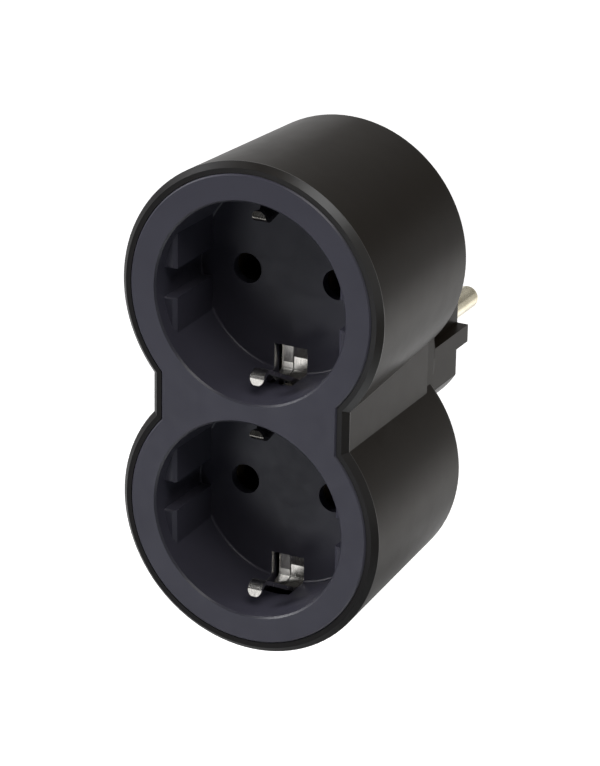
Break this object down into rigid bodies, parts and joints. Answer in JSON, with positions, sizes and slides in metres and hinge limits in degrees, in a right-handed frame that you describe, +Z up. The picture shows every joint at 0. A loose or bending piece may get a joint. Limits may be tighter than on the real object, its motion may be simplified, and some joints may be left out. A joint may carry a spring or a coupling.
{
  "type": "plug-in surge protector",
  "caption": "Plug-in surge protector with earthed, recessed sockets stacked in a black figure-eight housing and an earthed plug on its back.",
  "frame": {"origin": "midway between the two plug pins, on the plug's end face", "axes": "+Y along the plug pins towards their ends, the sockets face -Y; +Z up, from the lower to the upper socket; +X to the right seen from the socket side"},
  "size_m": [0.0544, 0.0788, 0.098],
  "materials": {
    "housing_plastic": "satin black",
    "insert_plastic": "fine matt blue-grey",
    "cover_plastic": "matt",
    "pin_nickel": "nickel plated",
    "contact_brass": "stamped",
    "earth_nickel": "nickel plated",
    "varistor_coating": "dipped epoxy",
    "fuse_can": "tinned",
    "screw_steel": "zinc plated"
  },
  "bodies": {
    "root": {"rear_housing": "housing_plastic", "front_plate": "insert_plastic", "upper_socket_cup": "insert_plastic", "lower_socket_cup": "insert_plastic", "contact_sleeves": "cover_plastic", "contact_cover": "cover_plastic", "pin_carrier": "cover_plastic", "line_pin": "pin_nickel", "neutral_pin": "pin_nickel", "line_busbar": "contact_brass", "neutral_busbar": "contact_brass", "upper_line_contact": "contact_brass", "upper_neutral_contact": "contact_brass", "lower_line_contact": "contact_brass", "lower_neutral_contact": "contact_brass", "upper_earth_bracket": "earth_nickel", "lower_earth_bracket": "earth_nickel", "earth_link": "earth_nickel", "plug_earth_strap": "earth_nickel", "earth_rivets": "earth_nickel", "varistor": "varistor_coating", "thermal_fuse": "fuse_can", "housing_screws": "screw_steel"}
  },
  "joints": []
}
